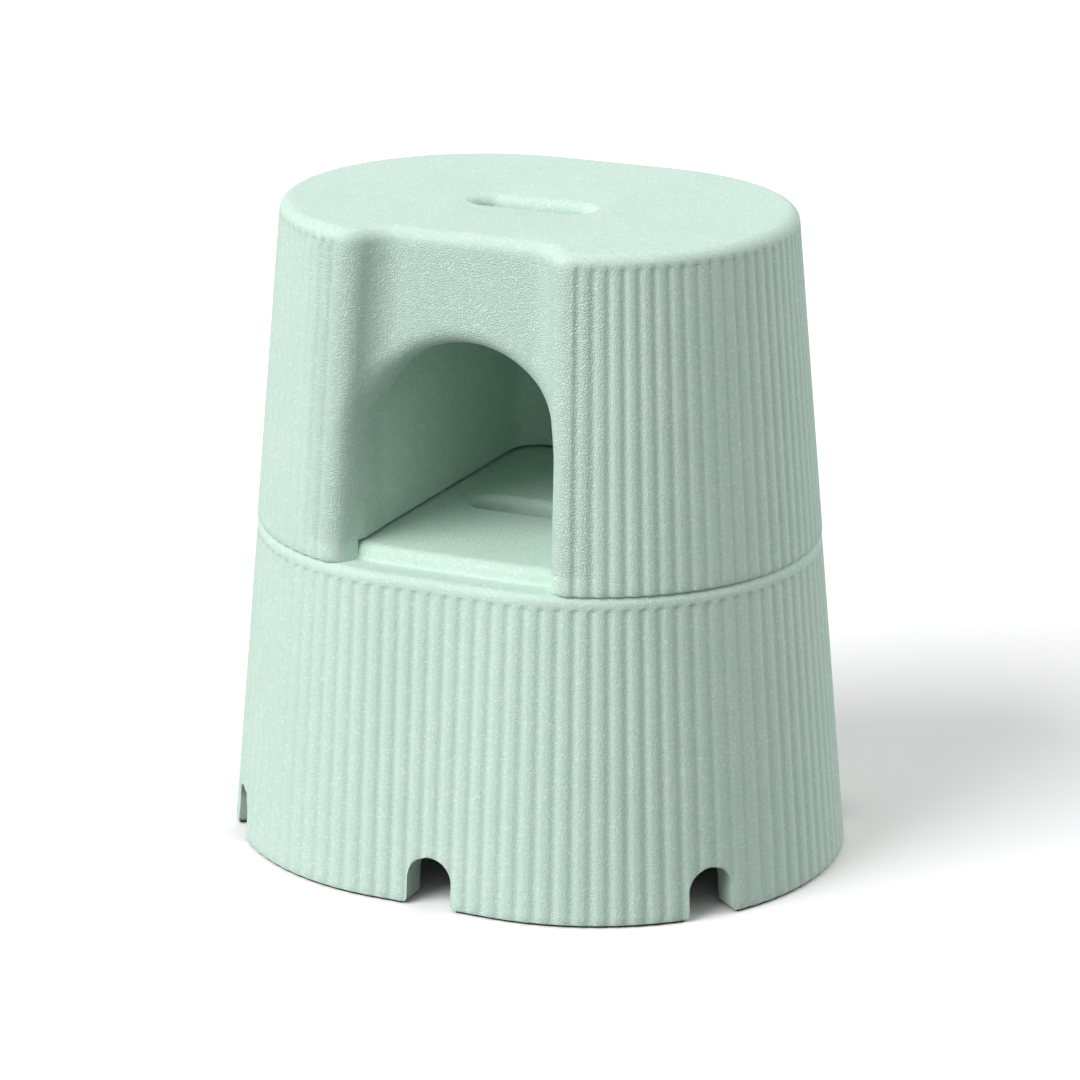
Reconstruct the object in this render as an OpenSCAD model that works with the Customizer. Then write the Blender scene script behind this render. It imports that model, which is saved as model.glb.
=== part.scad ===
// Two-part foam mounting block: an upper block with an arched foot space,
// seated on a wider base block. Both are hollow mouldings with thick walls.
// Origin: centre of the footprint, on the floor. +X to the right, -Y to the arch.

/* [Overall] */
// Total height, floor to standing face
total_h = 580; // [500:5:700]
// Length of the straight front and back sides, between the round ends
straight_l = 110; // [60:5:160]
// Radius of the round ends at the floor
end_r = 227; // [200:1:275]
// Lean of the outer walls
draft_deg = 5.1; // [3:0.1:6]
// Round on the edge of the standing face
top_edge_r = 12; // [6:1:16]

/* [Base block] */
// Share of the height that the base block takes
base_h = 290; // [240:5:350]
// Thickness of the base block's walls
base_wall = 27; // [22:1:34]
// Thickness of the base block's deck
base_deck = 40; // [30:1:50]
// Width of the ledge round the raised deck
ledge_w = 28; // [24:1:36]
// Height of the raised deck above the ledge
deck_rise = 14; // [8:1:20]
// Round on the edges of the ledge and of the raised deck
deck_edge_r = 8; // [3:1:8]

/* [Rim notches] */
// Width of each notch in the bottom rim
notch_w = 42; // [30:1:55]
// Height of each notch
notch_h = 45; // [30:1:60]
// Direction of the corner notches, from the long axis
notch_angle = 38.5; // [30:0.5:50]

/* [Grip pads] */
// Thickness of the rubber pads under the rim
pad_t = 2; // [1.5:0.5:4]
// How far the pads lie inside the rim's edge
pad_inset = 3; // [2:1:8]
// Gap between a pad's end and the notch beside it
pad_end_gap = 5; // [3:1:15]

/* [Upper block] */
// Thickness of the upper block's outer walls
upper_wall = 28; // [24:1:34]
// Thickness of the standing deck
upper_deck = 36; // [24:1:44]
// How far the upper block's lower edge stands proud of the ledge
upper_proud = 0.8; // [0:0.1:2]
// Gap beside the raised deck, in the recess that fits over it
seat_gap = 1; // [0.5:0.1:2]
// Gap above the raised deck, under the walls beside the foot space
deck_gap = 1.2; // [0.5:0.1:2]

/* [Foot space] */
// Width of the foot space
foot_w = 180; // [150:2:190]
// Thickness of the wall behind the foot space, at its foot
rear_wall = 39; // [34:1:50]
// Thickness of the wall that the arch opens through, at its foot
arch_wall = 42; // [36:1:50]
// Round in the rear corners of the foot space
foot_corner_r = 28; // [15:1:40]
// Height of material left above the arch, up to the standing face
arch_cover = 95; // [80:1:140]
// Thickness of the walls between the foot space and the side pockets
inner_wall = 25; // [20:1:32]

/* [Front scoop] */
// Depth of the scoop behind the block's front
scoop_depth = 34; // [20:1:40]
// Width of the flat part of the scoop's wall
scoop_flat = 140; // [100:1:160]
// Hollow round between the flat part and each front corner
scoop_bay_r = 30; // [20:1:40]
// Round on the front corners beside the scoop
scoop_corner_r = 20; // [12:1:30]
// Inward lean of the scoop's sides towards the top
scoop_narrow_deg = 1.8; // [0:0.1:3]

/* [Hand slots] */
// Length of each hand slot
slot_l = 110; // [100:1:130]
// Width of each hand slot
slot_w = 34; // [28:1:38]
// How far the slots lie in front of the block's middle
slot_forward = 12; // [0:1:20]

/* [Hidden] */
$fn = 96;
over = 1;
foam = "#bcd9c8";
rubber = "#4a5450";

half_l = straight_l / 2;
lean = tan(draft_deg);
deck_z = base_h + deck_rise;
cavity_top_z = total_h - upper_deck;
arch_r = foot_w / 2;
arch_mid_z = total_h - arch_cover - arch_r;
scoop_steps = 14;
notch_r = notch_w / 2;
pad_w = base_wall - 2 * pad_inset;
// Radius of the upper block's round ends at its foot
outline_r = end_r - base_h * lean + upper_proud;

// Radius of the outer wall's round ends at height z
function wall_r(z) = end_r - z * lean;

// Half section of a leaning wall, with its upper edge rounded
module half_section(z0, z1, r0, edge_r) {
    r1 = r0 - (z1 - z0) * lean;
    mid_r = r1 + edge_r * lean - edge_r / cos(draft_deg);
    mid_z = z1 - edge_r;
    polygon([
        [0, z0], [r0, z0],
        [mid_r + edge_r * cos(draft_deg), mid_z + edge_r * sin(draft_deg)],
        [mid_r, mid_z], [mid_r, z1], [0, z1]
    ]);
    translate([mid_r, mid_z]) circle(edge_r);
}

// Half section of a leaning wall with a sharp upper edge
module sharp_half_section(z0, z1, r0) {
    polygon([[0, z0], [r0, z0], [r0 - (z1 - z0) * lean, z1], [0, z1]]);
}

// Sweeps a half section round a shape with two straight sides and two round ends
module round_ended(middle_half_l) {
    for (side = [0, 1])
        rotate([0, 0, 180 * side])
            translate([middle_half_l, 0, 0])
                rotate([0, 0, -90]) rotate_extrude(angle = 180) children();
    rotate([90, 0, 90])
        linear_extrude(2 * middle_half_l, center = true) {
            children();
            mirror([1, 0]) children();
        }
}

// Solid with a leaning wall and a rounded upper edge
module leaning_block(z0, z1, r0, edge_r) {
    round_ended(half_l) half_section(z0, z1, r0, edge_r);
}

// Solid with a leaning wall and sharp edges, used for hollows
module leaning_hollow(z0, z1, r0) {
    round_ended(half_l) sharp_half_section(z0, z1, r0);
}

// Hand slot from z0 to z1
module hand_slot(z0, z1) {
    translate([0, -slot_forward, z0])
        linear_extrude(z1 - z0) {
            square([slot_l - slot_w, slot_w], center = true);
            for (side = [-1, 1])
                translate([side * (slot_l - slot_w) / 2, 0]) circle(slot_w / 2);
        }
}

// Outline of a rim notch: straight sides and a round top
module notch_outline() {
    translate([-notch_r, -over]) square([notch_w, notch_h - notch_r + over]);
    translate([0, notch_h - notch_r]) circle(notch_r);
}

// Cutter for a notch that opens along +X from the origin
module notch_cutter() {
    reach = base_wall + 30;
    translate([end_r - reach, 0, 0])
        rotate([90, 0, 90]) linear_extrude(reach + over) notch_outline();
}

// Places its child at each of the six notches
module at_notches() {
    for (side = [0, 180]) rotate([0, 0, 90 + side]) children();
    for (side = [0, 180], turn = [-notch_angle, notch_angle])
        rotate([0, 0, side]) translate([half_l, 0, 0]) rotate([0, 0, turn]) children();
}

module base_block() color(foam) difference() {
    union() {
        leaning_block(pad_t, base_h, wall_r(pad_t), deck_edge_r);
        leaning_block(base_h - deck_edge_r - over, deck_z,
            wall_r(base_h) - ledge_w + (deck_edge_r + over) * lean, deck_edge_r);
    }
    leaning_hollow(0, deck_z - base_deck, wall_r(0) - base_wall);
    at_notches() notch_cutter();
    hand_slot(deck_z - base_deck - over, deck_z + over);
}

// Points on an arc about c, from one direction to another
function arc(c, r, from, to) = [
    for (i = [0:scoop_steps])
        let (a = from + (to - from) * i / scoop_steps) c + r * [cos(a), sin(a)]
];

// Point at distance ra from a and rb from b, on the right of the line from a to b
function meeting(a, ra, b, rb) =
    let (d = b - a, l = norm(d), m = (ra * ra - rb * rb + l * l) / (2 * l))
    a + d * m / l + [-d[1], d[0]] * sqrt(ra * ra - m * m) / l;

// Direction of b as seen from a
function direction(a, b) = atan2(b[1] - a[1], b[0] - a[0]);

// The scoop in plan at the upper block's foot. Its wall runs into a hollow round, which
// runs into the round of the front corner, which runs into the block's round end.
scoop_wall_y = outline_r - scoop_depth;
end_c = [half_l, 0];
bay_c = [scoop_flat / 2, -scoop_wall_y - scoop_bay_r];
corner_c = meeting(end_c, outline_r - scoop_corner_r, bay_c, scoop_bay_r + scoop_corner_r);
half_scoop = concat(
    arc(bay_c, scoop_bay_r, 90, direction(bay_c, corner_c)),
    arc(corner_c, scoop_corner_r, direction(corner_c, bay_c) + 360,
        direction(end_c, corner_c) + 360),
    [corner_c + (scoop_corner_r + 80) * (corner_c - end_c) / norm(corner_c - end_c)]
);

// The scoop, as two halves that lean back with the block's front
module scoop_cutter() {
    reach = total_h - base_h + 20;
    middle_x = -5;
    half_plan = concat([[middle_x, -scoop_wall_y]], half_scoop,
        [[middle_x, half_scoop[len(half_scoop) - 1][1]]]);
    for (side = [0, 1])
        mirror([side, 0, 0])
            translate([0, -scoop_wall_y, base_h])
                rotate([-draft_deg, 0, 0])
                    rotate([0, -scoop_narrow_deg, 0])
                        translate([0, scoop_wall_y, -30])
                            linear_extrude(reach + 30) polygon(half_plan);
}

// Plan of the room behind the arch: square front corners, round rear corners
module foot_space_plan() {
    front_y = -scoop_wall_y + arch_wall;
    straight_y = wall_r(base_h) - rear_wall - foot_corner_r;
    translate([-foot_w / 2, front_y]) square([foot_w, straight_y - front_y]);
    translate([-foot_w / 2 + foot_corner_r, straight_y - over])
        square([foot_w - 2 * foot_corner_r, foot_corner_r + over]);
    for (side = [-1, 1])
        translate([side * (foot_w / 2 - foot_corner_r), straight_y]) circle(foot_corner_r);
}

// The arched opening through the scoop's wall
module arch_cutter() {
    translate([0, -scoop_wall_y + arch_wall + over, 0])
        rotate([90, 0, 0])
            linear_extrude(end_r) {
                translate([-foot_w / 2, base_h - over])
                    square([foot_w, arch_mid_z - base_h + over]);
                translate([0, arch_mid_z]) circle(arch_r);
            }
}

// Pocket inside one side of the upper block
module side_pocket(side) {
    pocket_x = foot_w / 2 + inner_wall;
    intersection() {
        leaning_hollow(base_h - over, cavity_top_z, wall_r(base_h - over) - upper_wall);
        translate([side > 0 ? pocket_x : -pocket_x - 2 * end_r, -end_r, base_h - 2 * over])
            cube([2 * end_r, 2 * end_r, total_h]);
    }
}

module upper_block() color(foam) difference() {
    leaning_block(base_h, total_h, outline_r, top_edge_r);
    // recess that fits over the raised deck
    leaning_hollow(base_h - over, deck_z + deck_gap, wall_r(base_h - over) - ledge_w + seat_gap);
    translate([0, 0, base_h]) linear_extrude(cavity_top_z - base_h) foot_space_plan();
    arch_cutter();
    scoop_cutter();
    for (side = [-1, 1]) side_pocket(side);
    hand_slot(cavity_top_z - over, total_h + over);
}

// Flat ring that lies under the rim, inset from both its edges
module pad_ring() {
    outer_r = wall_r(pad_t) - pad_inset;
    difference() {
        pad_plan(outer_r);
        pad_plan(outer_r - pad_w);
    }
}

// Round-ended plan of radius r
module pad_plan(r) {
    square([straight_l, 2 * r], center = true);
    for (side = [-1, 1]) translate([side * half_l, 0]) circle(r);
}

// One pad: the stretch of the ring that lies inside a wedge
module pad(region) {
    color(rubber) linear_extrude(pad_t)
        difference() {
            intersection() {
                pad_ring();
                polygon(region);
            }
            at_notches() pad_gap();
        }
}

// Room kept free at a notch
module pad_gap() {
    gap_w = notch_w + 2 * pad_end_gap;
    translate([end_r - 2 * base_wall, -gap_w / 2]) square([3 * base_wall, gap_w]);
}

// Corner points of the three wedges on the right side, mirrored for the left
far = 3 * end_r;
corner_dir = [cos(notch_angle), sin(notch_angle)];
function front_wedge(s) = [
    [0, 0], [0, -far], [s * (half_l + far * corner_dir[0]), -far * corner_dir[1]], [s * half_l, 0]
];
function end_wedge(s) = [
    [s * half_l, 0], [s * (half_l + far * corner_dir[0]), -far * corner_dir[1]],
    [s * (half_l + far * corner_dir[0]), far * corner_dir[1]]
];
function back_wedge(s) = [for (p = front_wedge(s)) [p[0], -p[1]]];

module pad_front_left() pad(front_wedge(-1));
module pad_front_right() pad(front_wedge(1));
module pad_end_left() pad(end_wedge(-1));
module pad_end_right() pad(end_wedge(1));
module pad_back_left() pad(back_wedge(-1));
module pad_back_right() pad(back_wedge(1));

base_block();
upper_block();
pad_front_left();
pad_front_right();
pad_end_left();
pad_end_right();
pad_back_left();
pad_back_right();
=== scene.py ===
"""Foam mounting block: two ribbed bead-foam blocks on rubber rim pads, on a pale stage."""
import math

import bmesh
import bpy
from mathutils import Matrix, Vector


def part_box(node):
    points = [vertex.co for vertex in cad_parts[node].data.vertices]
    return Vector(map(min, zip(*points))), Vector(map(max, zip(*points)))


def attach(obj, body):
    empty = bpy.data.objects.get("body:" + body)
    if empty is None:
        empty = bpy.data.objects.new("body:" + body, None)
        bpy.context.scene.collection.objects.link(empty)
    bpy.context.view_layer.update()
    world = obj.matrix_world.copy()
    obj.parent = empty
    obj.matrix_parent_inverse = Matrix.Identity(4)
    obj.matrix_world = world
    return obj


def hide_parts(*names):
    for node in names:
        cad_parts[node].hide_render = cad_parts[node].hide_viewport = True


bl_info = {
    "name": "Foam mounting block",
    "version": (1, 0, 0),
    "blender": (4, 5, 0),
    "location": "3D View > Sidebar > Block",
    "description": "Builds the ribbed foam blocks, their rim pads and the stage",
    "category": "Add Mesh",
}

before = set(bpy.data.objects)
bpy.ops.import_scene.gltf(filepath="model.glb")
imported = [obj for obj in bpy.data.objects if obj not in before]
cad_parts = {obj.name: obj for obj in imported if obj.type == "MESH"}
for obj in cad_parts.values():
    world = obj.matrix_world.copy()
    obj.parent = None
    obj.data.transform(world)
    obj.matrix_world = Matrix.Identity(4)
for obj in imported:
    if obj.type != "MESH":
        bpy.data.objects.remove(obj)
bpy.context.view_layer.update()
BASE_LOW, BASE_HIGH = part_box("base_block")
UPPER_LOW, UPPER_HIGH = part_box("upper_block")
PADS = [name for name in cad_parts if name.startswith("pad_")]

# Places of the columns of a block's wall within one rib, from crest to crest
COLUMN_STEPS = tuple(i / 10 for i in range(10))
# Heights of the rings that each block's ribbed wall runs through
BASE_HEIGHTS = (0.010, 0.018, 0.026, 0.034, 0.042, 0.050, 0.070,
                0.100, 0.140, 0.180, 0.220, 0.250, 0.268, 0.2755)
UPPER_HEIGHTS = (0.298, 0.304, 0.312, 0.324, 0.340, 0.356, 0.372, 0.388, 0.404, 0.420,
                 0.436, 0.452, 0.466, 0.480, 0.492, 0.504, 0.518, 0.534, 0.550, 0.562)
# How far in the raised deck's foot and side stand, and the width of the flat ring inside a rounded upper edge
DECK_FOOT_IN, DECK_SIDE_IN, FLAT_RIM = 0.0005, 0.0009, 0.003
# Faces that meet at more than this angle keep a crease
CREASE_DEGREES = 42
# Beads and pale flecks in a metre of foam
BEADS, FLECKS = 430.0, 520.0
# Soft suns: name, direction from +X towards +Y, height, strength and softness, with the angles in degrees
SUNS = (("key", -124.0, 36.0, 3.0, 46.0), ("side", 46.0, 21.0, 1.25, 40.0))
# The camera's place and aim, both moved sideways by the same small step
CAMERA_PLACE, CAMERA_AIM = Vector((1.4957, -3.1928, 1.4010)), Vector((0.0, 0.0, 0.2696))
CAMERA_STEP = Vector((0.9056, 0.4242, 0.0)) * 0.00149


# ---------------------------------------------------------------- sizes and colours

def length(name, text, value):
    return bpy.props.FloatProperty(name=name, description=text, default=value, unit="LENGTH", precision=4)


def angle(name, text, degrees):
    return bpy.props.FloatProperty(
        name=name, description=text, default=math.radians(degrees), subtype="ANGLE", unit="ROTATION")


def factor(name, text, value):
    return bpy.props.FloatProperty(name=name, description=text, default=value, min=0.0)


def colour(name, text, value):
    return bpy.props.FloatVectorProperty(
        name=name, description=text, default=value, size=3, min=0.0, max=1.0, subtype="COLOR")


class BlockSizes(bpy.types.PropertyGroup):
    """Sizes of the two foam blocks."""
    half_straight: length("Half straight side", "Half of the straight front and back sides", 0.055)
    end_radius: length("End radius", "Radius of the round ends at floor level", 0.227)
    draft: angle("Draft", "Lean of the outer walls", 5.1)
    seam_height: length("Seam height", "Height of the base block's ledge", 0.290)
    ledge_width: length("Ledge width", "Width of the ledge round the raised deck", 0.028)
    ledge_round: length("Ledge round", "Round on the ledge's outer edge", 0.008)
    deck_round: length("Deck round", "Round on the raised deck's edge", 0.009)
    base_wall: length("Base wall", "Thickness of the base block's walls", 0.027)
    base_deck: length("Base deck", "Thickness of the base block's deck", 0.040)
    notch_half: length("Notch half width", "Half of a rim notch's width", 0.021)
    notch_height: length("Notch height", "Height of a rim notch", 0.045)
    notch_turn: angle("Notch direction", "Direction of the corner notches, from the long axis", 38.5)
    deck_gap: length("Deck gap", "Gap above the raised deck, under the walls beside the foot space", 0.0026)
    proud: length("Proud", "How far the upper block's foot stands out past the ledge", 0.0008)
    top_round: length("Top round", "Round on the standing face's edge", 0.012)
    upper_wall: length("Upper wall", "Thickness of the upper block's outer walls", 0.028)
    upper_deck: length("Upper deck", "Thickness of the standing deck", 0.036)
    inner_wall: length("Inner wall", "Thickness of the walls beside the foot space", 0.024)
    scoop_depth: length("Scoop depth", "Depth of the scoop behind the front", 0.034)
    scoop_end: angle("Scoop end", "Direction in which the scoop's corner meets the round end", -71.6)
    bay_round: length("Bay round", "Hollow round beside the scoop's flat wall", 0.030)
    corner_round: length("Corner round", "Round on the front corners beside the scoop", 0.020)
    arch_half: length("Arch half width", "Half of the arch's width", 0.090)
    arch_middle: length("Arch middle", "Height of the middle of the arch's round top", 0.395)
    arch_round: length("Arch round", "Round on the arch's edge", 0.017)
    room_half: length("Room half width", "Half of the foot space's width", 0.091)
    room_front: length("Room front", "Front face of the foot space", -0.126)
    room_back: length("Room back", "Rear wall of the foot space", 0.162)
    room_corner: length("Room corner", "Round in the foot space's rear corners", 0.028)
    slot_half: length("Slot half length", "Half of a hand slot's length", 0.055)
    slot_round: length("Slot round", "Half of a hand slot's width", 0.017)
    slot_y: length("Slot place", "Place of the hand slots from front to back", -0.012)
    slot_flare: length("Slot flare", "Round on a hand slot's upper edge", 0.009)


class RibSizes(bpy.types.PropertyGroup):
    """Sizes of the pressed ribs."""
    half_count: bpy.props.IntProperty(
        name="Ribs on each half", description="Ribs from the front's middle to the back's middle",
        default=51, min=8)
    pitch: length("Pitch", "Distance from rib to rib on the straight sides", 0.0146)
    depth: length("Groove depth", "Depth of the grooves between the ribs", 0.0015)
    share: factor("Groove share", "Part of the pitch that a groove takes", 0.78)
    first: factor("First rib", "Place on the round end where the upper block's ribs start", 8.3)


class FoamLooks(bpy.types.PropertyGroup):
    """Colours of the foam and of the pads."""
    foam: colour("Foam", "Colour of the foam", (0.595, 0.775, 0.675))
    fleck: colour("Flecks", "Colour of the pale beads", (0.80, 0.92, 0.86))
    crease: colour("Creases", "Colour between the beads", (0.36, 0.53, 0.44))
    pad: colour("Pads", "Colour of the rubber pads", (0.035, 0.042, 0.040))


# ---------------------------------------------------------------- outlines

def wall_radius(sizes, z):
    return sizes.end_radius - z * math.tan(sizes.draft)


def along_outline(sizes, ribs, radius, phase):
    """Point and outward direction at a rib number, counted from the front's middle to the right."""
    straight = sizes.half_straight / ribs.pitch
    if phase <= straight:
        return phase * ribs.pitch, -radius, 0.0, -1.0
    if phase >= ribs.half_count - straight:
        return (ribs.half_count - phase) * ribs.pitch, radius, 0.0, 1.0
    turn = -math.pi / 2 + math.pi * (phase - straight) / (ribs.half_count - 2 * straight)
    return (sizes.half_straight + radius * math.cos(turn), radius * math.sin(turn),
            math.cos(turn), math.sin(turn))


def rib_phases(ribs, start):
    """Rib numbers of the wall's columns, from start to the back's middle."""
    found = [start]
    for rib in range(int(start), ribs.half_count):
        found += [rib + step for step in COLUMN_STEPS if rib + step > start + 0.04]
    return found + [float(ribs.half_count)]


class Scoop:
    """The scoop's plan at one height: flat wall, hollow round, corner round."""

    def __init__(self, sizes, radius):
        self.sizes, self.radius = sizes, radius
        reach = radius - sizes.corner_round
        self.corner = (sizes.half_straight + reach * math.cos(sizes.scoop_end),
                       reach * math.sin(sizes.scoop_end))
        self.wall = -(radius - sizes.scoop_depth)
        rise = self.corner[1] - (self.wall - sizes.bay_round)
        both = sizes.bay_round + sizes.corner_round
        self.bay = (self.corner[0] - math.sqrt(both ** 2 - rise ** 2), self.wall - sizes.bay_round)
        self.turn = math.atan2(rise, self.corner[0] - self.bay[0])

    def columns(self):
        """Points with outward directions, from the middle to the start of the round end."""
        sizes = self.sizes
        found = [(self.bay[0] * i / 14, self.wall, 0.0, -1.0) for i in range(14)]
        for i in range(11):
            a = math.pi / 2 + (self.turn - math.pi / 2) * i / 11
            found.append((self.bay[0] + sizes.bay_round * math.cos(a),
                          self.bay[1] + sizes.bay_round * math.sin(a), -math.cos(a), -math.sin(a)))
        for i in range(15):
            a = self.turn + math.pi + (sizes.scoop_end + math.pi - self.turn) * i / 14
            found.append((self.corner[0] + sizes.corner_round * math.cos(a),
                          self.corner[1] + sizes.corner_round * math.sin(a), math.cos(a), math.sin(a)))
        return found

    def face(self, x):
        """The wall's y at x."""
        x, sizes = abs(x), self.sizes
        if x <= self.bay[0]:
            return self.wall
        if x <= self.bay[0] + sizes.bay_round * math.cos(self.turn):
            return self.bay[1] + math.sqrt(sizes.bay_round ** 2 - (x - self.bay[0]) ** 2)
        out = min(sizes.corner_round, abs(x - self.corner[0]))
        return self.corner[1] - math.sqrt(sizes.corner_round ** 2 - out ** 2)


# ---------------------------------------------------------------- mesh making

def loft(name, rings, values=None):
    """Closed shell through rings of equal length, with a flat face on each end."""
    shell = bmesh.new()
    layers = {}
    for key in (values[0][0] if values else ()):
        kind = shell.verts.layers.float_vector if key == "wall_way" else shell.verts.layers.float
        layers[key] = kind.new(key)
    rows = []
    for i, ring in enumerate(rings):
        row = []
        for j, place in enumerate(ring):
            vert = shell.verts.new(place)
            for key, layer in layers.items():
                vert[layer] = values[i][j][key]
            row.append(vert)
        rows.append(row)
    count = len(rows[0])
    for low, high in zip(rows, rows[1:]):
        for j in range(count):
            k = (j + 1) % count
            shell.faces.new((low[j], low[k], high[k], high[j]))
    ends = [shell.faces.new(rows[0][::-1]), shell.faces.new(rows[-1])]
    shell.normal_update()
    bmesh.ops.triangulate(shell, faces=ends)
    bmesh.ops.recalc_face_normals(shell, faces=shell.faces)
    mesh = bpy.data.meshes.new(name)
    shell.to_mesh(mesh)
    shell.free()
    thing = bpy.data.objects.new(name, mesh)
    bpy.context.scene.collection.objects.link(thing)
    return thing


def ring_pair(half):
    """Whole ring from its right half, which runs from the front's middle to the back's middle."""
    left = [(-x, y, -nx, ny, *rest) for x, y, nx, ny, *rest in half[-2:0:-1]]
    return half + left


def flare(radius, start_degrees, front):
    """Offsets and depths of a rounded mouth, from in front of the face to where the hole runs straight."""
    b = math.radians(start_degrees)
    out = radius * (1 - math.sin(b))
    deep = radius * (1 - math.cos(b))
    run = (deep + front) / math.sin(b)
    steps = [(out + run * math.cos(b), -front)]
    for i in range(9):
        a = b + (math.pi / 2 - b) * i / 8
        steps.append((radius * (1 - math.sin(a)), radius * (1 - math.cos(a))))
    return steps


def slot_cutter(name, sizes, top, bottom):
    """Hand slot with a rounded upper edge."""
    reach = sizes.slot_half - sizes.slot_round
    plan = []
    for side in (0, 1):
        for i in range(25):
            a = -math.pi / 2 + math.pi * i / 24 + math.pi * side
            plan.append(((reach if side == 0 else -reach), math.cos(a), math.sin(a)))
    rings = []
    steps = flare(sizes.slot_flare, 10, 0.001)
    for out, deep in [(steps[0][0], -0.03)] + steps + [(0.0, None)]:
        z = bottom if deep is None else top - deep
        r = sizes.slot_round + out
        rings.append([(x + r * c, sizes.slot_y + r * s, z) for x, c, s in plan])
    return loft(name, rings)


def notch_plan(sizes):
    """Rim notch as (across, height) points with outward directions, from one foot to the other."""
    half, foot = sizes.notch_half, 0.004
    low = BASE_LOW[2]
    spring = sizes.notch_height - half
    found = [(half + foot, -0.01, 1.0, 0.0), (half + foot, low, 1.0, 0.0)]
    for i in range(1, 7):
        a = math.pi / 2 * i / 6
        found.append((half + foot * (1 - math.sin(a)), low + foot * (1 - math.cos(a)), 1.0, 0.0))
    found.append((half, spring * 0.6 + low, 1.0, 0.0))
    for i in range(25):
        a = math.pi * i / 24
        found.append((half * math.cos(a), spring + half * math.sin(a), math.cos(a), math.sin(a)))
    return found + [(-x, z, -mx, mz) for x, z, mx, mz in found[8::-1]]


def notch_cutter(name, sizes, centre_x, turn, flat):
    """Cutter for one rim notch that opens in the direction turn from (centre_x, 0)."""
    plan = notch_plan(sizes)
    steps = flare(0.0022, 12, 0.0006)
    rings = []
    for out, deep in [(steps[0][0], "front")] + steps + [(0.0, "back")]:
        ring = []
        for across, z, mx, mz in plan:
            s, h = across + mx * out, z + mz * out
            r = wall_radius(sizes, max(h, 0.0))
            surface = r if flat else math.sqrt(r * r - s * s)
            if deep == "front":
                surface = sizes.end_radius + 0.03
            elif deep == "back":
                surface = sizes.end_radius - sizes.base_wall - 0.03
            else:
                surface -= deep
            ring.append((centre_x + surface * math.cos(turn) - s * math.sin(turn),
                         surface * math.sin(turn) + s * math.cos(turn), h))
        rings.append(ring)
    return loft(name, rings)


def arch_cutter(sizes):
    """Cutter for the arched opening, with a rounded edge that follows the scoop's wall."""
    half, middle = sizes.arch_half, sizes.arch_middle
    low = sizes.seam_height - 0.012
    plan = [(half, low + (middle - low) * i / 14, 1.0, 0.0) for i in range(14)]
    plan += [(half * math.cos(math.pi * i / 64), middle + half * math.sin(math.pi * i / 64),
              math.cos(math.pi * i / 64), math.sin(math.pi * i / 64)) for i in range(65)]
    plan += [(-x, z, -mx, mz) for x, z, mx, mz in plan[13::-1]]
    steps = flare(sizes.arch_round, 11, 0.0012)
    rings = []
    for out, deep in [(steps[0][0], "front")] + steps + [(0.0, "back")]:
        ring = []
        for x, z, mx, mz in plan:
            px, pz = x + mx * out, z + mz * out
            if deep == "front":
                y = -sizes.end_radius - 0.05
            elif deep == "back":
                y = sizes.room_front + 0.006
            else:
                y = Scoop(sizes, wall_radius(sizes, pz) + sizes.proud).face(px) + deep
            ring.append((px, y, pz))
        rings.append(ring)
    return loft("arch_cutter", rings)


def round_ended_cutter(name, sizes, levels, count=48):
    """Cutter whose outline follows the block's, through (height, radius) levels."""
    rings = []
    for z, r in levels:
        ring = []
        for side in (0, 1):
            for i in range(count + 1):
                a = -math.pi / 2 + math.pi * i / count + math.pi * side
                x = sizes.half_straight if side == 0 else -sizes.half_straight
                ring.append((x + r * math.cos(a), r * math.sin(a), z))
        rings.append(ring)
    return loft(name, rings)


def room_cutter(sizes):
    """Cutter for the foot space behind the arch."""
    top, low = UPPER_HIGH[2] - sizes.upper_deck, sizes.seam_height - 0.006
    rings = []
    for z, inset in ((low, 0), (top - 0.008, 0), (top - 0.0045, 0.0011), (top - 0.0015, 0.004), (top, 0.008)):
        half, front, back = sizes.room_half - inset, sizes.room_front + inset, sizes.room_back - inset
        r = sizes.room_corner - inset
        ring = [(half, front, z)]
        for quarter, way in ((0, 1), (1, -1)):
            for i in range(17):
                a = math.pi / 2 * (i / 16 + quarter)
                ring.append(((half - r) * way + r * math.cos(a), back - r + r * math.sin(a), z))
        ring.append((-half, front, z))
        rings.append(ring)
    return loft("room_cutter", rings)


def pocket_cutter(sizes, side):
    """Cutter for the hollow inside one side of the upper block."""
    rings = []
    near = sizes.room_half + sizes.inner_wall - sizes.half_straight
    top = UPPER_HIGH[2] - sizes.upper_deck
    for z in (sizes.seam_height - 0.006, top):
        r = wall_radius(sizes, z) - sizes.upper_wall
        reach = math.acos(near / r)
        ring = [(side * (sizes.half_straight + r * math.cos(reach * (i / 24 - 1))),
                 r * math.sin(reach * (i / 24 - 1)), z) for i in range(49)]
        rings.append(ring)
    return loft("pocket_cutter", rings)


def carve(block, cutters):
    """Cuts the cutters out of the block and removes them."""
    for cutter in cutters:
        cut = block.modifiers.new("cut", "BOOLEAN")
        cut.operation = "DIFFERENCE"
        cut.solver = "MANIFOLD"
        cut.object = cutter
    settle(block)
    for cutter in cutters:
        mesh = cutter.data
        bpy.data.objects.remove(cutter)
        bpy.data.meshes.remove(mesh)


def settle(thing):
    """Turns the modifiers' result into the thing's own mesh."""
    graph = bpy.context.evaluated_depsgraph_get()
    result = bpy.data.meshes.new_from_object(
        thing.evaluated_get(graph), preserve_all_data_layers=True, depsgraph=graph)
    old = thing.data
    thing.modifiers.clear()
    thing.data = result
    bpy.data.meshes.remove(old)


def finish_shading(thing, degrees):
    """Smooth faces, with creases where they meet at more than the given angle."""
    thing.data.shade_smooth()
    thing.data.set_sharp_from_angle(angle=math.radians(degrees))


# ---------------------------------------------------------------- ribs

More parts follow.
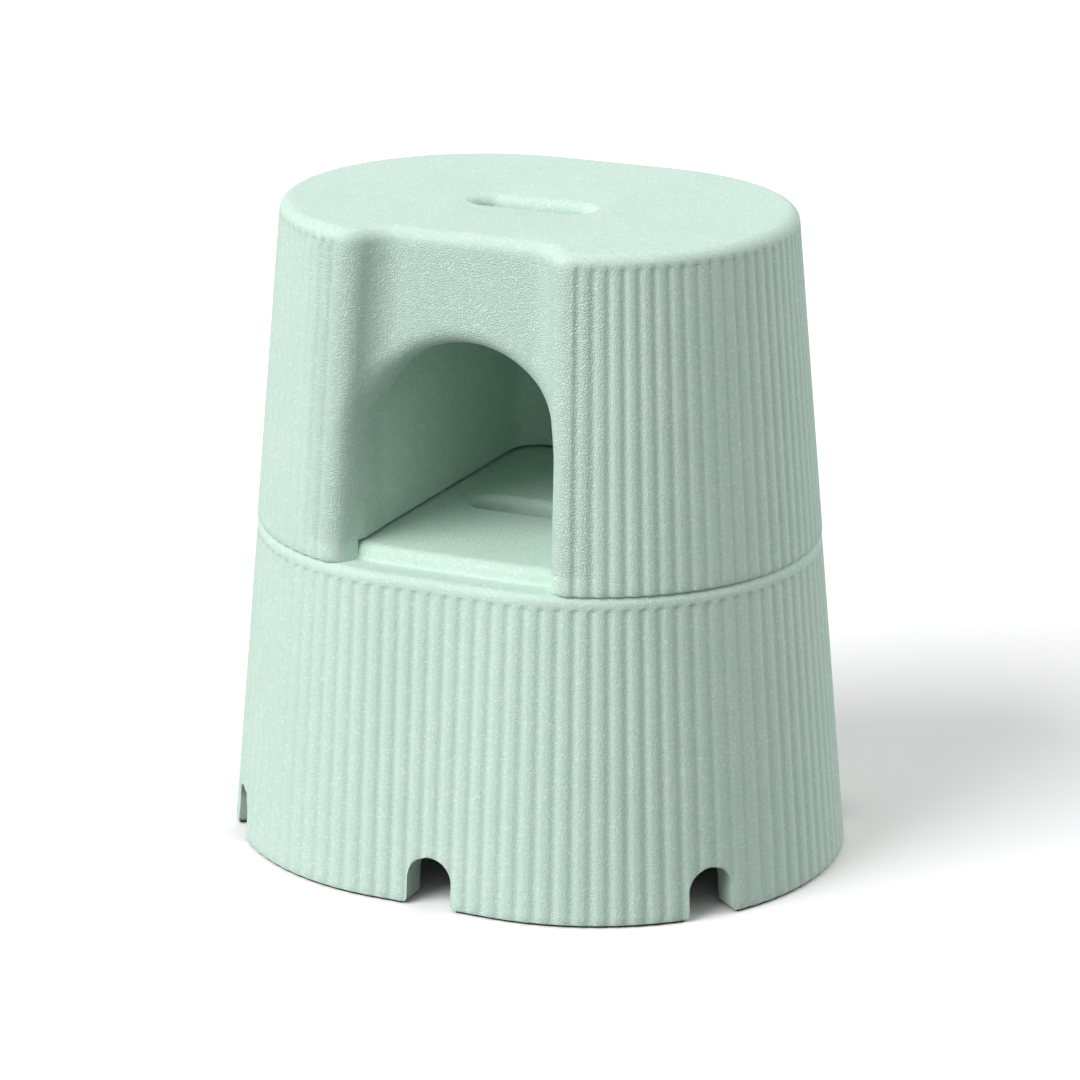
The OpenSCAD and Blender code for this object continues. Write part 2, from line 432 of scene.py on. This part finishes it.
def rib_tree():
    """Geometry Nodes that press the grooves between the ribs into a wall."""
    tree = bpy.data.node_groups.new("Pressed ribs", "GeometryNodeTree")
    face = tree.interface
    face.new_socket("Geometry", in_out="INPUT", socket_type="NodeSocketGeometry")
    face.new_socket("Groove depth", in_out="INPUT", socket_type="NodeSocketFloat")
    face.new_socket("Groove share", in_out="INPUT", socket_type="NodeSocketFloat")
    face.new_socket("Foam", in_out="INPUT", socket_type="NodeSocketMaterial")
    face.new_socket("Geometry", in_out="OUTPUT", socket_type="NodeSocketGeometry")
    nodes, link = tree.nodes, tree.links.new
    start, end = nodes.new("NodeGroupInput"), nodes.new("NodeGroupOutput")

    def attribute(name, kind):
        node = nodes.new("GeometryNodeInputNamedAttribute")
        node.data_type = kind
        node.inputs["Name"].default_value = name
        return node.outputs["Attribute"]

    def maths(operation, *values):
        node = nodes.new("ShaderNodeMath")
        node.operation = operation
        for socket, value in zip(node.inputs, values):
            if isinstance(value, bpy.types.NodeSocket):
                link(value, socket)
            else:
                socket.default_value = value
        return node.outputs[0]

    off_groove = maths("ABSOLUTE", maths("SUBTRACT", maths("FRACT", attribute("rib_phase", "FLOAT")), 0.5))
    shape = nodes.new("ShaderNodeMapRange")
    shape.interpolation_type = "SMOOTHSTEP"
    link(off_groove, shape.inputs["Value"])
    link(maths("MULTIPLY", start.outputs["Groove share"], 0.5), shape.inputs["From Max"])
    shape.inputs["To Min"].default_value, shape.inputs["To Max"].default_value = 1.0, 0.0
    press = maths("MULTIPLY", maths("MULTIPLY", shape.outputs[0], attribute("rib_reach", "FLOAT")),
                  maths("MULTIPLY", start.outputs["Groove depth"], -1.0))
    way = nodes.new("ShaderNodeVectorMath")
    way.operation = "SCALE"
    link(attribute("wall_way", "FLOAT_VECTOR"), way.inputs[0])
    link(press, way.inputs["Scale"])
    move, real, paint = (nodes.new("GeometryNodeSetPosition"), nodes.new("GeometryNodeRealizeInstances"),
                         nodes.new("GeometryNodeSetMaterial"))
    link(start.outputs["Geometry"], move.inputs["Geometry"])
    link(way.outputs[0], move.inputs["Offset"])
    link(move.outputs[0], real.inputs[0])
    link(real.outputs[0], paint.inputs["Geometry"])
    link(start.outputs["Foam"], paint.inputs["Material"])
    link(paint.outputs[0], end.inputs[0])
    return tree


def press_ribs(thing, ribs, material):
    """Runs the rib nodes on a wall that carries the rib attributes."""
    tree = bpy.data.node_groups.get("Pressed ribs") or rib_tree()
    nodes = thing.modifiers.new("ribs", "NODES")
    nodes.node_group = tree
    values = {"Groove depth": ribs.depth, "Groove share": ribs.share, "Foam": material}
    for item in tree.interface.items_tree:
        if item.item_type == "SOCKET" and item.in_out == "INPUT" and item.name in values:
            nodes[item.identifier] = values[item.name]
    settle(thing)


# ---------------------------------------------------------------- materials

class Nodes:
    """Short calls for a material's nodes."""

    def __init__(self, name):
        self.material = bpy.data.materials.new(name)
        self.material.use_nodes = True
        self.tree = self.material.node_tree
        self.shader = self.tree.nodes["Principled BSDF"]
        self.place = self.tree.nodes.new("ShaderNodeTexCoord").outputs["Object"]

    def put(self, socket, value):
        if isinstance(value, bpy.types.NodeSocket):
            self.tree.links.new(value, socket)
        else:
            socket.default_value = value

    def make(self, kind, output=0, settings=None, **inputs):
        node = self.tree.nodes.new(kind)
        for key, value in (settings or {}).items():
            setattr(node, key, value)
        for key, value in inputs.items():
            self.put(node.inputs[key.replace("_", " ")], value)
        return node.outputs[output]

    def maths(self, operation, *values):
        node = self.tree.nodes.new("ShaderNodeMath")
        node.operation = operation
        for socket, value in zip(node.inputs, values):
            self.put(socket, value)
        return node.outputs[0]

    def ramp(self, value, low, high, first=0.0, last=1.0):
        return self.make("ShaderNodeMapRange", settings={"interpolation_type": "SMOOTHSTEP"}, Value=value,
                         From_Min=low, From_Max=high, To_Min=first, To_Max=last)

    def mix(self, share, first, second):
        node = self.tree.nodes.new("ShaderNodeMix")
        node.data_type = "RGBA"
        self.put(node.inputs[0], share)
        for socket, value in ((node.inputs[6], first), (node.inputs[7], second)):
            self.put(socket, (*value, 1.0) if isinstance(value, tuple) else value)
        return node.outputs[2]


def foam_material(looks):
    """Moulded bead foam: pale flecks, fine creases between beads, coarser beads in the scoop, where darker
    beads and creases also paint shade into the recess.
    """
    m = Nodes("bead_foam")
    split = m.tree.nodes.new("ShaderNodeSeparateXYZ")
    m.put(split.inputs[0], m.place)
    # coarser beads show on the scoop and on the front of the legs beside it; there the beads and creases are
    # also painted darker, as painted shade in the recess
    across = m.ramp(m.maths("ABSOLUTE", split.outputs[0]), 0.118, 0.150, 1.0, 0.0)
    front = m.ramp(split.outputs[1], -0.120, -0.135, 0.0, 1.0)
    high = m.ramp(split.outputs[2], 0.3045, 0.309)
    below_top = m.ramp(split.outputs[2], 0.560, 0.575, 1.0, 0.0)
    scoop_beads_and_shade = m.maths("MULTIPLY", m.maths("MULTIPLY", across, front), m.maths("MULTIPLY", high, below_top))
    warp = m.make("ShaderNodeTexNoise", output=1, Vector=m.place, Scale=180.0, Detail=1.0)
    bent = m.tree.nodes.new("ShaderNodeVectorMath")
    bent.operation = "MULTIPLY_ADD"
    m.put(bent.inputs[0], warp)
    bent.inputs[1].default_value = (0.0012, 0.0012, 0.0012)
    m.put(bent.inputs[2], m.place)
    edges = m.make("ShaderNodeTexVoronoi", settings={"feature": "DISTANCE_TO_EDGE"}, Vector=bent.outputs[0],
                   Scale=BEADS)
    crease = m.ramp(edges, 0.0, 0.22, 1.0, 0.0)
    beads = m.make("ShaderNodeTexVoronoi", output=1, Vector=bent.outputs[0], Scale=BEADS)
    tone = m.make("ShaderNodeSeparateColor", Color=beads)
    fine = m.make("ShaderNodeTexNoise", Vector=m.place, Scale=900.0, Detail=3.0, Roughness=0.65)
    broad = m.make("ShaderNodeTexNoise", Vector=m.place, Scale=14.0, Detail=2.0)
    flecks = m.make("ShaderNodeTexVoronoi", output=1, Vector=m.place, Scale=FLECKS)
    pick = m.ramp(m.make("ShaderNodeSeparateColor", Color=flecks), 0.80, 0.97)
    base = m.mix(m.ramp(broad, 0.35, 0.65, 0.0, 0.10), tuple(looks.foam), tuple(looks.fleck))
    base = m.mix(m.maths("MULTIPLY", pick, 0.50), base, tuple(looks.fleck))
    # the extra darkening of the beads on the scoop is painted shade in the recess
    dark = m.maths("MULTIPLY", m.ramp(tone, 0.0, 0.45, 1.0, 0.0), m.maths("MULTIPLY_ADD", scoop_beads_and_shade, 0.02, 0.10))
    base = m.mix(dark, base, tuple(looks.crease))
    # the stronger crease lines on the scoop are partly coarser beads and partly painted shade in the recess
    line = m.maths("MULTIPLY", crease, m.maths("MULTIPLY_ADD", scoop_beads_and_shade, 0.04, 0.06))
    base = m.mix(line, base, tuple(looks.crease))
    m.put(m.shader.inputs["Base Color"], base)
    m.shader.inputs["Roughness"].default_value = 0.82
    m.shader.inputs["Specular IOR Level"].default_value = 0.28
    height = m.maths("ADD", m.maths("MULTIPLY", crease, m.maths("MULTIPLY_ADD", scoop_beads_and_shade, -0.6, -0.3)),
                     m.maths("MULTIPLY", fine, 1.0))
    bump = m.make("ShaderNodeBump", Height=height, Strength=0.75, Distance=0.0009)
    m.put(m.shader.inputs["Normal"], bump)
    return m.material


def rubber_material(looks):
    """Matt black rubber with a fine grain."""
    m = Nodes("pad_rubber_grain")
    grain = m.make("ShaderNodeTexNoise", Vector=m.place, Scale=1400.0, Detail=3.0)
    worn = m.make("ShaderNodeTexNoise", Vector=m.place, Scale=60.0, Detail=4.0)
    lighter = tuple(min(1.0, c * 2.2) for c in looks.pad)
    m.put(m.shader.inputs["Base Color"], m.mix(m.ramp(worn, 0.45, 0.75, 0.0, 0.5), tuple(looks.pad), lighter))
    m.put(m.shader.inputs["Roughness"], m.ramp(grain, 0.3, 0.7, 0.62, 0.80))
    m.put(m.shader.inputs["Normal"], m.make("ShaderNodeBump", Height=grain, Strength=0.35, Distance=0.0003))
    return m.material


def material(name, maker, looks):
    return bpy.data.materials.get(name) or maker(looks)


# ---------------------------------------------------------------- the two blocks

def wall_values(half, reach):
    return [{"rib_phase": p[4], "rib_reach": reach * p[5], "wall_way": Vector((p[2], p[3], 0.0))}
            for p in ring_pair(half)]


def build_wall(name, levels, half_ring):
    """Shell through (height, outline height, inset, reach of the ribs) levels."""
    rings, values = [], []
    for z, outline_z, inset, reach in levels:
        half = half_ring(outline_z)
        whole = ring_pair(half)
        rings.append([(p[0] - p[2] * inset, p[1] - p[3] * inset, z) for p in whole])
        values.append(wall_values(half, reach))
    return loft(name, rings, values)


def rounded_levels(z, radius, count, lean, inset=0.0):
    """Levels of a rounded upper edge whose top lies at z."""
    found = []
    for i in range(1, count + 1):
        a = lean + (math.pi / 2 - lean) * i / count
        found.append((z - radius + radius * math.sin(a), z - radius,
                      inset + radius * (math.cos(lean) - math.cos(a)), 0.0))
    return found


def base_ring(sizes, ribs):
    def ring(z):
        radius = wall_radius(sizes, z)
        return [(*along_outline(sizes, ribs, radius, u), u, 1.0) for u in rib_phases(ribs, 0.0)]
    return ring


def upper_ring(sizes, ribs):
    def ring(z):
        radius = wall_radius(sizes, z) + sizes.proud
        front = [(*p, 0.0, 0.0) for p in Scoop(sizes, radius).columns()]
        ribbed = [(*along_outline(sizes, ribs, radius, u), u, 1.0) for u in rib_phases(ribs, ribs.first)]
        return front + ribbed
    return ring


class BLOCK_OT_base(bpy.types.Operator):
    """Builds the ribbed base block with its ledge, raised deck, hand slot and rim notches."""
    bl_idname = "block.base"
    bl_label = "Base block"

    def execute(self, context):
        sizes, ribs, looks = (context.scene.block_sizes, context.scene.block_ribs, context.scene.block_looks)
        low, top, seam = BASE_LOW[2], BASE_HIGH[2], sizes.seam_height
        levels = [(low, low, 0.0016, 0.0), (low + 0.0004, low, 0.0006, 0.6),
                  (low + 0.0016, low + 0.0016, 0.0, 1.0)]
        levels += [(z, z, 0.0, 1.0) for z in BASE_HEIGHTS]
        levels += [(0.2775, 0.2775, 0.0, 0.92), (0.279, 0.279, 0.0, 0.35), (0.2802, 0.2802, 0.0, 0.0),
                   (seam - sizes.ledge_round, seam - sizes.ledge_round, 0.0, 0.0)]
        levels += rounded_levels(seam, sizes.ledge_round, 7, sizes.draft)
        foot = seam - sizes.ledge_round
        inner = sizes.ledge_width - (wall_radius(sizes, foot) - wall_radius(sizes, seam))
        round_in = 0.0025
        for i in range(5):
            a = math.pi / 2 * i / 4
            inset = inner - round_in * (1 - math.sin(a)) + DECK_FOOT_IN
            levels.append((seam + round_in * (1 - math.cos(a)), foot, inset, 0.0))
        levels.append((top - sizes.deck_round, foot, inner + DECK_SIDE_IN, 0.0))
        levels += [(z, foot, inset, 0.0) for z, _, inset, _ in
                   rounded_levels(top, sizes.deck_round, 8, sizes.draft, inner + DECK_SIDE_IN)]
        levels.append((top, foot, levels[-1][2] + FLAT_RIM, 0.0))
        block = build_wall("base_block_foam", levels, base_ring(sizes, ribs))
        press_ribs(block, ribs, material("bead_foam", foam_material, looks))
        ceiling = top - sizes.base_deck
        hollow = [(z, wall_radius(sizes, z) - sizes.base_wall) for z in (-0.01, ceiling - 0.012)]
        hollow += [(ceiling - 0.012 + 0.012 * math.sin(a), hollow[-1][1] - 0.012 * (1 - math.cos(a)))
                   for a in (math.radians(d) for d in (22, 45, 67, 90))]
        cutters = [round_ended_cutter("hollow_cutter", sizes, hollow),
                   slot_cutter("slot_cutter", sizes, top, ceiling - 0.01)]
        cutters += [notch_cutter("notch_cutter", sizes, 0.0, side * math.pi / 2, True) for side in (-1, 1)]
        for end, half in ((1, 0), (-1, math.pi)):
            cutters += [notch_cutter("notch_cutter", sizes, sizes.half_straight * end,
                                     half + side * sizes.notch_turn, False) for side in (-1, 1)]
        carve(block, cutters)
        finish_shading(block, CREASE_DEGREES)
        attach(block, "base")
        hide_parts("base_block")
        return {"FINISHED"}


class BLOCK_OT_upper(bpy.types.Operator):
    """Builds the ribbed upper block with its scoop, arch, foot space, pockets and hand slot."""
    bl_idname = "block.upper"
    bl_label = "Upper block"

    def execute(self, context):
        sizes, ribs, looks = (context.scene.block_sizes, context.scene.block_ribs, context.scene.block_looks)
        low, top = UPPER_LOW[2], UPPER_HIGH[2]
        start = top - sizes.top_round
        levels = [(low, low, 0.0025, 0.0), (low + 0.0007, low, 0.0008, 0.7),
                  (low + 0.0024, low + 0.0024, 0.0, 1.0)]
        levels += [(z, z, 0.0, 1.0) for z in UPPER_HEIGHTS]
        levels += [(0.5655, 0.5655, 0.0, 1.0), (0.567, 0.567, 0.0, 0.8), (start, start, 0.0, 0.45)]
        rounded = rounded_levels(top, sizes.top_round, 9, sizes.draft)
        levels += [(z, o, inset, 0.12 if i == 0 else 0.0) for i, (z, o, inset, _) in enumerate(rounded)]
        levels.append((top, start, levels[-1][2] + FLAT_RIM, 0.0))
        block = build_wall("upper_block_foam", levels, upper_ring(sizes, ribs))
        press_ribs(block, ribs, material("bead_foam", foam_material, looks))
        seat = BASE_HIGH[2] + sizes.deck_gap
        recess_r = wall_radius(sizes, sizes.seam_height) - sizes.ledge_width + 0.001
        cutters = [round_ended_cutter("recess_cutter", sizes, [(low - 0.01, recess_r), (seat, recess_r)]),
                   room_cutter(sizes), arch_cutter(sizes), pocket_cutter(sizes, 1), pocket_cutter(sizes, -1),
                   slot_cutter("slot_cutter", sizes, top, top - sizes.upper_deck - 0.01)]
        carve(block, cutters)
        finish_shading(block, CREASE_DEGREES)
        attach(block, "upper")
        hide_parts("upper_block")
        return {"FINISHED"}


class BLOCK_OT_pads(bpy.types.Operator):
    """Gives the rim pads their rubber."""
    bl_idname = "block.pads"
    bl_label = "Rim pads"

    def execute(self, context):
        rubber = material("pad_rubber_grain", rubber_material, context.scene.block_looks)
        for name in PADS:
            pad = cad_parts[name]
            pad.data.materials.clear()
            pad.data.materials.append(rubber)
        return {"FINISHED"}


# ---------------------------------------------------------------- stage

def sun(name, turn_degrees, height_degrees, strength, softness_degrees):
    """A soft sun that shines from the given direction, counted from +X towards +Y."""
    light = bpy.data.lights.new(name, "SUN")
    light.energy, light.angle = strength, math.radians(softness_degrees)
    lamp = bpy.data.objects.new(name, light)
    turn, height = math.radians(turn_degrees), math.radians(height_degrees)
    way = Vector((math.cos(height) * math.cos(turn), math.cos(height) * math.sin(turn), math.sin(height)))
    lamp.location = way * 4.0
    lamp.rotation_euler = way.to_track_quat("Z", "Y").to_euler()
    bpy.context.scene.collection.objects.link(lamp)


def plane(name, z, shade):
    """A large plain matt plane that belongs to the stage."""
    bpy.ops.mesh.primitive_plane_add(size=60.0, location=(0.0, 0.0, z))
    floor = bpy.context.object
    floor.name = name
    paint = bpy.data.materials.new(name)
    paint.use_nodes = True
    shader = paint.node_tree.nodes["Principled BSDF"]
    shader.inputs["Base Color"].default_value = (shade, shade, shade, 1.0)
    shader.inputs["Roughness"].default_value = 1.0
    shader.inputs["Specular IOR Level"].default_value = 0.0
    floor.data.materials.append(paint)
    return floor


class BLOCK_OT_stage(bpy.types.Operator):
    """Makes the pale floor, the soft lights and the camera."""
    bl_idname = "block.stage"
    bl_label = "Stage"

    def execute(self, context):
        scene = context.scene
        scene.view_settings.view_transform = "Standard"
        scene.view_settings.look = "None"
        world = scene.world or bpy.data.worlds.new("soft_room")
        scene.world = world
        world.use_nodes = True
        back = world.node_tree.nodes["Background"]
        back.inputs["Color"].default_value = (1.0, 1.0, 1.0, 1.0)
        back.inputs["Strength"].default_value = 0.49
        # the pale floor that shows, and a greyer one that only bounces light
        pale = plane("floor", -0.0002, 1.0)
        pale.visible_diffuse = pale.visible_glossy = False
        grey = plane("floor_bounce", -0.0006, 0.38)
        grey.visible_camera = False
        for soft in SUNS:
            sun(*soft)
        eye = bpy.data.cameras.new("camera")
        eye.sensor_width, eye.lens = 36.0, 138.12
        camera = bpy.data.objects.new("camera", eye)
        camera.location = CAMERA_PLACE + CAMERA_STEP
        view = CAMERA_AIM + CAMERA_STEP - camera.location
        camera.rotation_euler = view.to_track_quat("-Z", "Y").to_euler()
        scene.collection.objects.link(camera)
        scene.camera = camera
        return {"FINISHED"}


class BLOCK_PT_panel(bpy.types.Panel):
    """Lists the block's pieces."""
    bl_idname = "BLOCK_PT_panel"
    bl_label = "Mounting block"
    bl_space_type = "VIEW_3D"
    bl_region_type = "UI"
    bl_category = "Block"

    def draw(self, context):
        for operator in OPERATORS:
            self.layout.operator(operator.bl_idname)
        for group in (context.scene.block_sizes, context.scene.block_ribs, context.scene.block_looks):
            box = self.layout.box()
            for name in group.__annotations__:
                box.prop(group, name)


OPERATORS = (BLOCK_OT_base, BLOCK_OT_upper, BLOCK_OT_pads, BLOCK_OT_stage)
GROUPS = {"block_sizes": BlockSizes, "block_ribs": RibSizes, "block_looks": FoamLooks}


def register():
    for group in (*GROUPS.values(), *OPERATORS, BLOCK_PT_panel):
        bpy.utils.register_class(group)
    for name, group in GROUPS.items():
        setattr(bpy.types.Scene, name, bpy.props.PointerProperty(type=group))


def unregister():
    for name in GROUPS:
        delattr(bpy.types.Scene, name)
    for group in (BLOCK_PT_panel, *reversed(OPERATORS), *GROUPS.values()):
        bpy.utils.unregister_class(group)


def main():
    register()
    bpy.ops.block.base()
    bpy.ops.block.upper()
    bpy.ops.block.pads()
    bpy.ops.block.stage()


if __name__ == "__main__":
    main()
